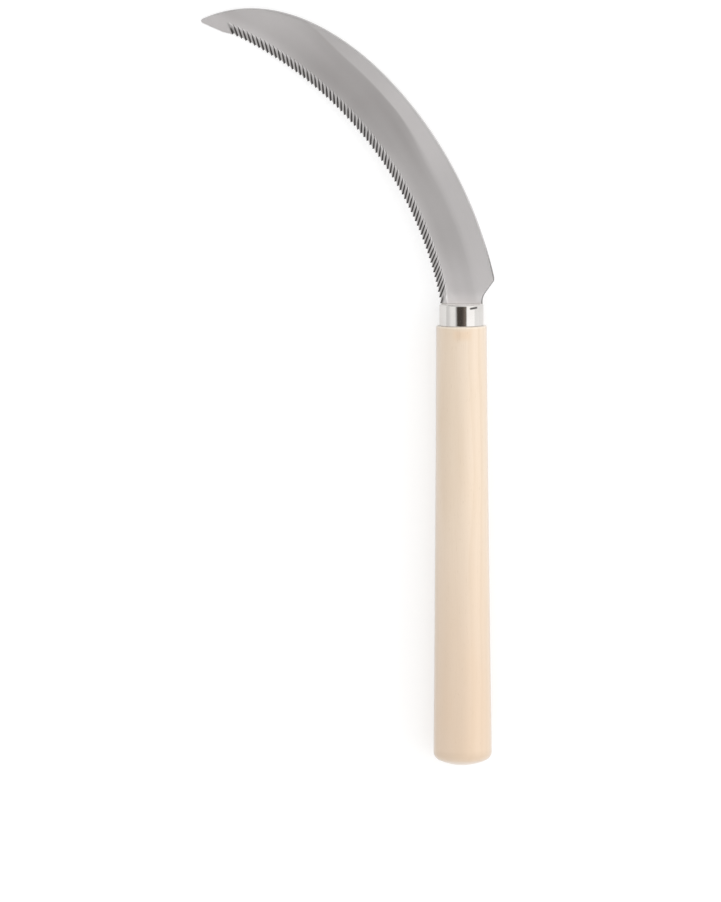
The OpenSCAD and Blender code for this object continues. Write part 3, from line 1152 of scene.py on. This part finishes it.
# %% [markdown]
# Cap and handle are both turned about the handle's axis, so one rule makes both. A profile is a list of
# rings. Each ring has a radius, a place along the axis, and a freedom from 0 to 1 that says how much
# the real surface wanders there: a hand held tool leaves waves on the outside, while the seat between
# tenon and cap stays true. The rule can also press in one slanted mark, which is how the cap is staked
# so that it can't turn.

# %% Rule of a turned piece
TURNED_SHARP = 30
TURNED_SIZES = {
    "Unevenness": 0.03,
    "Wave Around": 9.0,
    "Wave Along": 40.0,
    "Seed": 1.0,
    "Mark Depth": 0.0,
    "Mark Turn": 0.0,
    "Mark Place": 0.0,
    "Mark Length": 1.0,
    "Mark Width": 1.0,
    "Mark Slant": 0.0,
}


def on_mark(right, above, cosine, sine):
    """Lengths along a slanted mark and across it, both from its middle."""
    lengthwise = right * cosine + above * sine
    sideways = above * cosine - right * sine
    return lengthwise.math("ABSOLUTE"), sideways.math("ABSOLUTE")


def build_turned_rule():
    tree, entry, leave, size = new_rule("Turned piece", TURNED_SIZES, ("Finish",), "Piece")
    radius, along, turn, freedom = (attribute(tree, name) for name in ("radius", "along", "turn", "freedom"))
    angle = turn.math("RADIANS")
    sine = angle.math("SINE")
    cosine = angle.math("COSINE")
    around = radius / size["Wave Around"]
    spot = joined(tree, cosine * around + size["Seed"], along / size["Wave Along"], sine * around)
    waves = (noise(tree, spot) - 0.5) * 2 * size["Unevenness"]

    slant = size["Mark Slant"].math("RADIANS")
    right = (turn - size["Mark Turn"]).math("RADIANS") * radius
    above = along - size["Mark Place"]
    lengthwise, sideways = on_mark(right, above, slant.math("COSINE"), slant.math("SINE"))
    pressed = ramp(tree, lengthwise / size["Mark Length"], 0.3, 0.55, 1.0, 0.0)
    pressed = pressed * ramp(tree, sideways / size["Mark Width"], 0.05, 0.6, 1.0, 0.0)
    reach_out = radius + freedom * (waves - size["Mark Depth"] * pressed)
    place = joined(tree, reach_out * sine, along, reach_out * cosine)

    made = shaped(tree, entry.outputs["Net"], place, TURNED_SHARP)
    done = add_node(tree, "GeometryNodeSetMaterial", Geometry=made, Material=entry.outputs["Finish"])
    tree.links.new(done.outputs[0], leave.inputs[0])
    return tree


turned_rule = build_turned_rule()
print("Rule", turned_rule.name, "has", len(turned_rule.nodes), "nodes")

# %% [markdown]
# A profile is written as straight stretches and arcs, as a turner would mark it on a template. The
# helpers break them into rings, and the last one runs the rule on the net of a whole profile.


# %% Rings of a profile
def ring_arc(centre_r, centre_y, radius, start, stop, steps, freedom=1.0):
    """Rings along an arc of the profile, from one angle above the horizontal to another."""
    angles = [math.radians(a) for a in np.linspace(start, stop, steps)]
    return [(centre_r + radius * math.cos(a), centre_y + radius * math.sin(a), freedom) for a in angles]


def ring_line(first, last, step, freedom=1.0):
    """Rings along a straight stretch of the profile, about a step apart."""
    count = max(1, round(math.dist(first, last) / step))
    run = np.array(last) - np.array(first)
    return [(*(np.array(first) + run * i / count), freedom) for i in range(count + 1)]


def turn_piece(name, profile, sides, values):
    radius, along, freedom = (np.repeat(column, sides) for column in np.array(profile, float).T)
    turn = np.tile(np.linspace(360, 0, sides, endpoint=False), len(profile))
    numbers = {"radius": radius, "along": along, "freedom": freedom, "turn": turn}
    return run_rule(name, net(len(profile), sides, numbers, {}), turned_rule, values)


# %% [markdown]
# The cap is drawn from thin sheet and plated, and the plating is bright enough to mirror the studio. It
# isn't flawless: polishing leaves fine lines round it, and handling leaves a faint haze in patches. Its
# top is matt from the drawing press, and its colour is lighter there as a painted highlight. The mark
# that stakes it gets a painted shade, for the shade inside the small dent.

# %% Plating
PLATING = (0.685, 0.665, 0.645)
HAZE = (0.62, 0.595, 0.57)
MATT_TOP_PAINTED_LIGHT = (0.95, 0.925, 0.9)
MARK_TURN = 34.0
MARK_PLACE = -1.25
MARK_LENGTH = 4.1
MARK_WIDTH = 1.05
MARK_SLANT = 6.0
TOP_FROM = (-0.12, -0.02)


def plated_material():
    material, tree, shader = new_material("bright_plated_cap", metallic=1.0)
    x, along, z = tool_place(tree)
    radius = (x * x + z * z).math("SQRT")
    around = x.math("ARCTAN2", z) * CAP_R
    lines = joined(tree, along, around, radius)
    height, roughness, tone = worked(tree, lines, spacing=0.06, stretch=120.0, roughness=0.085, spread=0.06)
    slant = math.radians(MARK_SLANT)
    right = around - math.radians(MARK_TURN) * CAP_R
    lengthwise, sideways = on_mark(right, along - MARK_PLACE, math.cos(slant), math.sin(slant))
    pressed = ramp(tree, lengthwise, 0.36 * MARK_LENGTH, 0.52 * MARK_LENGTH, 1.0, 0.0)
    pressed = pressed * ramp(tree, sideways, 0.2 * MARK_WIDTH, 0.5 * MARK_WIDTH, 1.0, 0.0)
    top = ramp(tree, along, *TOP_FROM)
    colour = blend_colour(tree, ramp(tree, tone, 0.35, 0.7), PLATING, HAZE)
    # Painted highlight on the matt top, and painted shade in the staking mark.
    colour = layered(tree, colour, (top, MATT_TOP_PAINTED_LIGHT), (pressed * 0.92, PAINTED_RECESS_SHADE))
    roughness = pressed * 0.35 + top * 0.45 + roughness
    set_finish(material, shader, colour, roughness, bump(tree, height, strength=0.06, depth=0.01))
    return material


# %% [markdown]
# The cap's profile runs over the closed top, round the shoulder, down the wall to the rim and back up
# inside. The rings stand close where the mark is pressed in. The slot that lets the tang through is cut
# at the end.

# %% Cap
CAP_ROUND = 0.66
RIM_ROUND = 0.22
MARK_ROWS = 0.12
MARK_TO = -4.2
CAP_SIDES = 320


def cap_profile():
    corner = CAP_R - CAP_ROUND
    inside = CAP_R - CAP_WALL
    rim = RIM_ROUND - CAP_LEN
    rings = ring_line((0, 0), (corner, 0), 1.2, 0.0)
    rings += ring_arc(corner, -CAP_ROUND, CAP_ROUND, 90, 0, 16)[1:]
    rings += ring_line((CAP_R, -CAP_ROUND), (CAP_R, MARK_TO), MARK_ROWS)[1:]
    rings += ring_line((CAP_R, MARK_TO), (CAP_R, rim), 0.4)[1:]
    rings += ring_arc(CAP_R - RIM_ROUND, rim, RIM_ROUND, 0, -90, 7)[1:]
    rings += ring_line((inside, -CAP_LEN), (inside, -CAP_ROUND), 1.0, 0.0)
    rings += ring_arc(corner, -CAP_ROUND, CAP_ROUND - CAP_WALL, 0, 90, 8, 0.0)[1:]
    rings += ring_line((corner, -CAP_WALL), (0, -CAP_WALL), 1.2, 0.0)[1:]
    return rings


def make_cap():
    values = {
        "Unevenness": 0.02,
        "Wave Around": 3.0,
        "Wave Along": 9.0,
        "Mark Depth": 0.25,
        "Mark Turn": MARK_TURN,
        "Mark Place": MARK_PLACE,
        "Mark Length": MARK_LENGTH,
        "Mark Width": MARK_WIDTH,
        "Mark Slant": MARK_SLANT,
        "Finish": plated_material(),
    }
    piece = turn_piece("drawn_cap", cap_profile(), CAP_SIDES, values)
    over = CAP_WALL + 1
    slot = block("slot", TANG_W / 2 + FIT, -over, over, -SHEET / 2 - FIT, SHEET / 2 + FIT)
    combine(piece, "DIFFERENCE", [slot])
    return piece


cap = make_cap()

# %% [markdown]
# The handle's profile starts at the tenon inside the cap, steps out at a small shoulder and swells
# towards the butt. A turner shapes that swell by eye, and it comes a little late: the middle is slimmer
# than a straight taper. At the butt a tight curve meets a shallow dome.

# %% Profile of the handle
TENON_CHAMFER = 1.0
SHOULDER_R = 10.15
SHOULDER_ROUND = 0.5
TAPER_POWER = 1.2
BUTT_ROUND = 3.8
DOME_R = 23.5
TURN_STEP = 1.6

TENON_R = CAP_R - CAP_WALL - FIT
BUTT_R = grip_end["dims"]["r_mm"]
HANDLE_END = reach("handle", cap_top, up_handle)[0]
round_in = BUTT_R - BUTT_ROUND
dome_middle = HANDLE_END + DOME_R
round_middle = dome_middle - math.sqrt((DOME_R - BUTT_ROUND) ** 2 - round_in**2)
round_from = math.degrees(math.asin(round_in / (DOME_R - BUTT_ROUND)))
print("Handle end at", round(HANDLE_END, 2), "dome meets the rim", round(-round_middle, 2), "mm down")


def handle_profile():
    """Rings from the tenon's top to the middle of the dome."""
    chamfered = TENON_TOP - TENON_CHAMFER
    top = -CAP_LEN - SHOULDER_ROUND
    rings = ring_line((0, TENON_TOP), (TENON_R - TENON_CHAMFER, TENON_TOP), 1.5, 0.0)
    rings += ring_line((TENON_R, chamfered), (TENON_R, -CAP_LEN), 2.0, 0.0)
    rings += ring_arc(SHOULDER_R - SHOULDER_ROUND, top, SHOULDER_ROUND, 90, 0, 8, 0.6)
    for share in np.linspace(0, 1, round((top - round_middle) / TURN_STEP))[1:]:
        radius = SHOULDER_R + (BUTT_R - SHOULDER_R) * share**TAPER_POWER
        rings.append((radius, top + (round_middle - top) * share, 1.0))
    rings += ring_arc(round_in, round_middle, BUTT_ROUND, 0, round_from - 90, 9)[1:]
    rings += ring_arc(0, dome_middle, DOME_R, round_from - 90, -90, 22)[1:]
    return rings


# %% [markdown]
# The handle is pale, close-grained wood, turned and sanded. Its colour comes from three things at three
# scales: growth rings cut lengthwise, which show as faint wide streaks, fibres along the grain, and
# short darker pores. All of it is laid out in three dimensions, so that the dome at the butt shows end
# grain without being told to.

# %% Grain of the wood
PITH = (34.0, -58.0)
RING_SPACING = 3.1
RING_SWAY = 9
RING_DRIFT = 0.012
SWAY_SIZE = (26, 110)
FIBRE_SIZE = (0.3, 14)
PORE_SIZE = (0.28, 2.6)
CLOUD_SIZE = (16, 60)


def grained(tree, place, size, **kind):
    """Noise whose specks have a width across the grain and a length along it, in mm."""
    x, y, z = place
    wide, long = size
    return noise(tree, joined(tree, x / wide, y / long, z / wide), **kind)


def wood_grain(tree, place):
    """The late wood of the growth rings, the fibres, the pores and the clouds of a piece of wood."""
    x, y, z = place
    sway = grained(tree, place, SWAY_SIZE)
    from_pith = ((x - PITH[0]) * (x - PITH[0]) + (z - PITH[1]) * (z - PITH[1])).math("SQRT")
    year = (from_pith + (sway - 0.5) * RING_SWAY + y * RING_DRIFT) / RING_SPACING
    this_year = noise(tree, joined(tree, year.math("FLOOR") * 3.7, 0.0, 0.0))
    late = band(tree, year.math("FRACT"), 0.35, 0.86, 0.9, 1.0) * ramp(tree, this_year, 0.3, 0.7, 0.1, 0.5)
    fibre = grained(tree, place, FIBRE_SIZE, detail=3.0, roughness=0.65)
    pore = ramp(tree, grained(tree, place, PORE_SIZE, detail=1.0), 0.67, 0.76)
    cloud = grained(tree, place, CLOUD_SIZE, detail=3.0)
    return SimpleNamespace(late=late, fibre=fibre, pore=pore, cloud=cloud)


# %% [markdown]
# The handle is bored and driven onto its tang. Its colour is darker towards the butt, a painted shade for
# the light that falls off there. It is also warmer and darker in a small band just below the cap, darker
# round the rim of the butt, and palest in a thin line right under the cap. A thin coat and a little
# sheen make the flat, dry gloss of sanded wood. The places are lengths in mm, and a range or a band reads
# as it does for the blade.

# %% Wood
WOOD = (0.825, 0.684, 0.543)
LATE_WOOD = (0.69, 0.54, 0.385)
WARM_WOOD = (0.80, 0.58, 0.38)
PAINTED_SHADE_TO_BUTT = (0.7, 0.512, 0.362)
PALEST_WOOD = (0.93, 0.83, 0.7)
PORE = (0.52, 0.38, 0.25)
DARK_OVAL_TINT = (0.34, 0.22, 0.13)
WARM_BELOW_CAP_BAND = (-6.6, -3.6, -2.2, -0.9)
PALEST_LINE = (-1.0, -0.3, 0.0, 0.7)
SHADE_TO_BUTT_FROM = (-175.0, -55.0, 0.48, 0.0)
RIM_BAND = (-2.6, -1.2, -0.4, 1.4)
DARK_OVAL_AT = (-1.2, -12.3)
DARK_OVAL_HALF = (1.1, 3.4)


def dark_oval_share(tree, x, y, z):
    """A small darker oval on the upper side, below the cap."""
    beside = (x - DARK_OVAL_AT[0]) / DARK_OVAL_HALF[0]
    below = (y - DARK_OVAL_AT[1]) / DARK_OVAL_HALF[1]
    far = (beside * beside + below * below).math("SQRT")
    return ramp(tree, far, 0.0, 1.3, 1.0, 0.0) * ramp(tree, z, 0.0, 4.0)


def wood_material():
    material, tree, shader = new_material("sanded_pale_wood")
    x, y, z = tool_place(tree)
    grain = wood_grain(tree, (x, y, z))
    below_cap = y + CAP_LEN
    warm_below_cap = band(tree, below_cap, *WARM_BELOW_CAP_BAND) * ramp(tree, (x - 0.2).math("ABSOLUTE"), 1.8, 5.0, 0.45, 0.0)
    colour = layered(
        tree,
        blend_colour(tree, grain.late, WOOD, LATE_WOOD),
        (warm_below_cap, WARM_WOOD),
        # Painted shade: the wood is darker towards the butt, where less light falls.
        (ramp(tree, y, *SHADE_TO_BUTT_FROM), PAINTED_SHADE_TO_BUTT),
        (ramp(tree, below_cap, *PALEST_LINE), PALEST_WOOD),
        (ramp(tree, grain.fibre, 0.45, 0.8, 0.0, 0.28), LATE_WOOD),
        (ramp(tree, grain.cloud, 0.4, 0.75, 0.0, 0.22), WARM_WOOD),
        (grain.pore * 0.22, PORE),
        (band(tree, y - round_middle, *RIM_BAND) * 0.16, PORE),
        (dark_oval_share(tree, x, y, z) * grain.fibre * 0.2, DARK_OVAL_TINT),
    )
    roughness = 0.42 + grain.fibre * 0.16 + grain.pore * 0.1
    height = grain.fibre * 0.5 - grain.pore * 0.6 + grain.late * 0.2
    set_finish(material, shader, colour, roughness, bump(tree, height, strength=0.35, depth=0.03))
    shader.inputs["Coat Weight"].default_value = 0.65
    shader.inputs["Coat Roughness"].default_value = 0.35
    shader.inputs["Sheen Weight"].default_value = 0.85
    shader.inputs["Sheen Roughness"].default_value = 0.35
    return material


# %% [markdown]
# The handle is turned from its profile with long, low waves, as sanding by hand leaves them. The pocket
# for the tang and the hole for the pin are inside, where nobody sees them. The CAD solid has both, and
# this dressed handle leaves them out.

# %% Handle
HANDLE_SIDES = 224


def make_handle():
    values = {
        "Unevenness": 0.045,
        "Wave Around": 11.0,
        "Wave Along": 26.0,
        "Seed": 4.0,
        "Finish": wood_material(),
    }
    return turn_piece("turned_handle", handle_profile(), HANDLE_SIDES, values)


handle = make_handle()

# %% [markdown]
# The pin's own solid is right as it stands: a short piece of drawn wire that the cap hides. It stays,
# and gets a better finish, with the lines of the drawing die along it.

# %% Pin
DRAWN_WIRE = (0.52, 0.51, 0.5)
DRAWN_DARK = (0.38, 0.37, 0.36)


def pin_material():
    material, tree, shader = new_material("drawn_pin_steel", metallic=1.0)
    x, y, z = tool_place(tree)
    lines = joined(tree, x, z, y)
    height, roughness, tone = worked(tree, lines, spacing=0.05, stretch=50.0, roughness=0.32, spread=0.08)
    colour = blend_colour(tree, ramp(tree, tone, 0.3, 0.7), DRAWN_WIRE, DRAWN_DARK)
    set_finish(material, shader, colour, roughness, bump(tree, height, strength=0.2, depth=0.02))
    return material


for slot in frame["nodes"]["tang_pin"].material_slots:
    slot.material = pin_material()

# %% [markdown]
# The tool lies on a pale table. The table takes its soft shadow, and it also glows a little, to the
# camera and in the metal that mirrors it, so that it runs into the white behind it without an edge. The
# glow lights nothing.

# %% Floor
FLOOR_TINT = (0.58, 0.58, 0.58)
FLOOR_GLOW = 0.5
FLOOR_HALF_M = 8.0


def seen_by(tree, *rays):
    """1 for the rays that the Light Path node names, 0 for the others."""
    path = tree.nodes.new("ShaderNodeLightPath")
    share = Num(tree, path.outputs[rays[0]])
    for ray in rays[1:]:
        share = share + path.outputs[ray]
    return share.clamped()


def floor_material():
    material = bpy.data.materials.new("pale_floor")
    material.use_nodes = True
    tree = material.node_tree
    tree.nodes.clear()
    seen = seen_by(tree, "Is Camera Ray", "Is Transmission Ray", "Is Glossy Ray")
    paint = add_node(tree, "ShaderNodeBsdfDiffuse", Color=(*FLOOR_TINT, 1))
    glow = add_node(tree, "ShaderNodeEmission", Color=(1, 1, 1, 1), Strength=seen * FLOOR_GLOW)
    both = tree.nodes.new("ShaderNodeAddShader")
    leave = tree.nodes.new("ShaderNodeOutputMaterial")
    tree.links.new(paint.outputs[0], both.inputs[0])
    tree.links.new(glow.outputs[0], both.inputs[1])
    tree.links.new(both.outputs[0], leave.inputs["Surface"])
    return material


def add_floor():
    mesh = bpy.data.meshes.new("floor")
    half = FLOOR_HALF_M
    corners = [(-half, -half, 0), (half, -half, 0), (half, half, 0), (-half, half, 0)]
    mesh.from_pydata(corners, [], [(0, 1, 2, 3)])
    mesh.materials.append(floor_material())
    floor = bpy.data.objects.new("floor", mesh)
    bpy.context.scene.collection.objects.link(floor)
    print("The floor is", 2 * half, "m wide")


add_floor()

# %% [markdown]
# Polished metal shows nothing but its surroundings, so they are drawn for it. The tool lies in a bright
# tent. Straight above it the camera leaves a dark patch, which the cap mirrors as the dark band, and to
# the right of that stands a bright lamp, which it mirrors as the white band. Two angles tell where a
# mirrored ray goes: side, across the handle, and ahead, along it. The dark patch is a little warm, as
# the dark band in the picture is. All ranges and bands below are in degrees.

# %% World
TENT_GLOW = 1.12
TENT_LIGHT = 0.95
WHITE = (1, 1, 1)
WARM_DARK = (1.0, 0.84, 0.73)
WARM_FROM = (0.7, 0.93)
CAMERA_SIDE = (-41, -24, 18, 26)
CAMERA_AHEAD = (-13, -10, 12, 24)
CAMERA_DARK = 0.93
CAMERA_LIGHTER = (-4, 20, 0, 0.16)
HOOK_SIDE = (-75, -50, -12, 0)
HOOK_AHEAD = (38, 48, 60, 76)
HOOK_DARK = 0.3
PANEL_SIDE = (-80, -56, 1, 0)
PANEL_DARK = 0.26
LAMP_SIDE = (18, 26, 62, 72)
LAMP_BRIGHT = 0.29
ENDS_DARKER = (0.4, 0.8, 1.0, 0.72)


def tent(tree):
    """How bright the tent is where a mirrored ray goes, and how far the ray meets the camera's patch."""
    here = tree.nodes.new("ShaderNodeTexCoord")
    x, y, z = split(tree, here.outputs["Generated"])
    side = x.math("ARCTAN2", z).math("DEGREES")
    ahead = y.math("ARCTAN2", z).math("DEGREES")
    patch = band(tree, side, *CAMERA_SIDE) * band(tree, ahead, *CAMERA_AHEAD) * CAMERA_DARK
    hook = band(tree, side, *HOOK_SIDE) * band(tree, ahead, *HOOK_AHEAD)
    panel = ramp(tree, side, *PANEL_SIDE)
    lamp = band(tree, side, *LAMP_SIDE)
    glow = TENT_GLOW - panel * PANEL_DARK + lamp * LAMP_BRIGHT
    glow = glow * ramp(tree, y.math("ABSOLUTE"), *ENDS_DARKER)
    glow = glow * (1 - hook * HOOK_DARK) * (1 - patch * (1 - ramp(tree, side, *CAMERA_LIGHTER)))
    return glow, patch


def add_world():
    world = bpy.data.worlds.new("studio")
    bpy.context.scene.world = world
    world.use_nodes = True
    tree = world.node_tree
    tree.nodes.clear()
    seen = seen_by(tree, "Is Camera Ray", "Is Transmission Ray")
    glossy = seen_by(tree, "Is Glossy Ray")
    glow, patch = tent(tree)
    strength = seen + (1 - seen) * (glossy * glow + (1 - glossy) * TENT_LIGHT)
    warm = ramp(tree, patch, *WARM_FROM) * glossy * (1 - seen)
    colour = blend_colour(tree, warm, WHITE, WARM_DARK)
    back = add_node(tree, "ShaderNodeBackground", Color=colour, Strength=strength)
    leave = tree.nodes.new("ShaderNodeOutputWorld")
    tree.links.new(back.outputs[0], leave.inputs["Surface"])
    print("World", world.name, "has", len(tree.nodes), "nodes")


add_world()

# %% [markdown]
# One large softbox on the right gives the wood its roundness and the table its soft shadow. It lights
# only wood and table, because its mirror image is already drawn in the tent.

# %% Softbox
SOFTBOX_PLACE_M = (1.5, 0, 0.7)
SOFTBOX_SIZE_M = 1.8
SOFTBOX_WATTS = 9


def add_softbox():
    data = bpy.data.lights.new("key_softbox", "AREA")
    data.shape = "SQUARE"
    data.size = SOFTBOX_SIZE_M
    data.energy = SOFTBOX_WATTS
    lamp = bpy.data.objects.new("key_softbox", data)
    bpy.context.scene.collection.objects.link(lamp)
    lamp.visible_glossy = False
    lamp.location = SOFTBOX_PLACE_M
    lamp.rotation_euler = (-Vector(SOFTBOX_PLACE_M)).to_track_quat("-Z", "Y").to_euler()
    print("Softbox of", SOFTBOX_WATTS, "W,", round(lamp.location.length, 2), "m away")


add_softbox()

# %% [markdown]
# The three drawn pieces take the places of their CAD nodes, which are hidden.
# The pin needs no such line, because its own node is still there. The view transform is Standard, so a
# colour renders about as it is written.

# %% Finish
scene = bpy.context.scene
scene.view_settings.view_transform = "Standard"
dressed = (
    (blade, "blade", "blade_steel"),
    (cap, "ferrule", "ferrule_metal"),
    (handle, "handle", "handle_wood"),
)
for piece, node, slot_name in dressed:
    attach(piece, BODY)
    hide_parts(node)
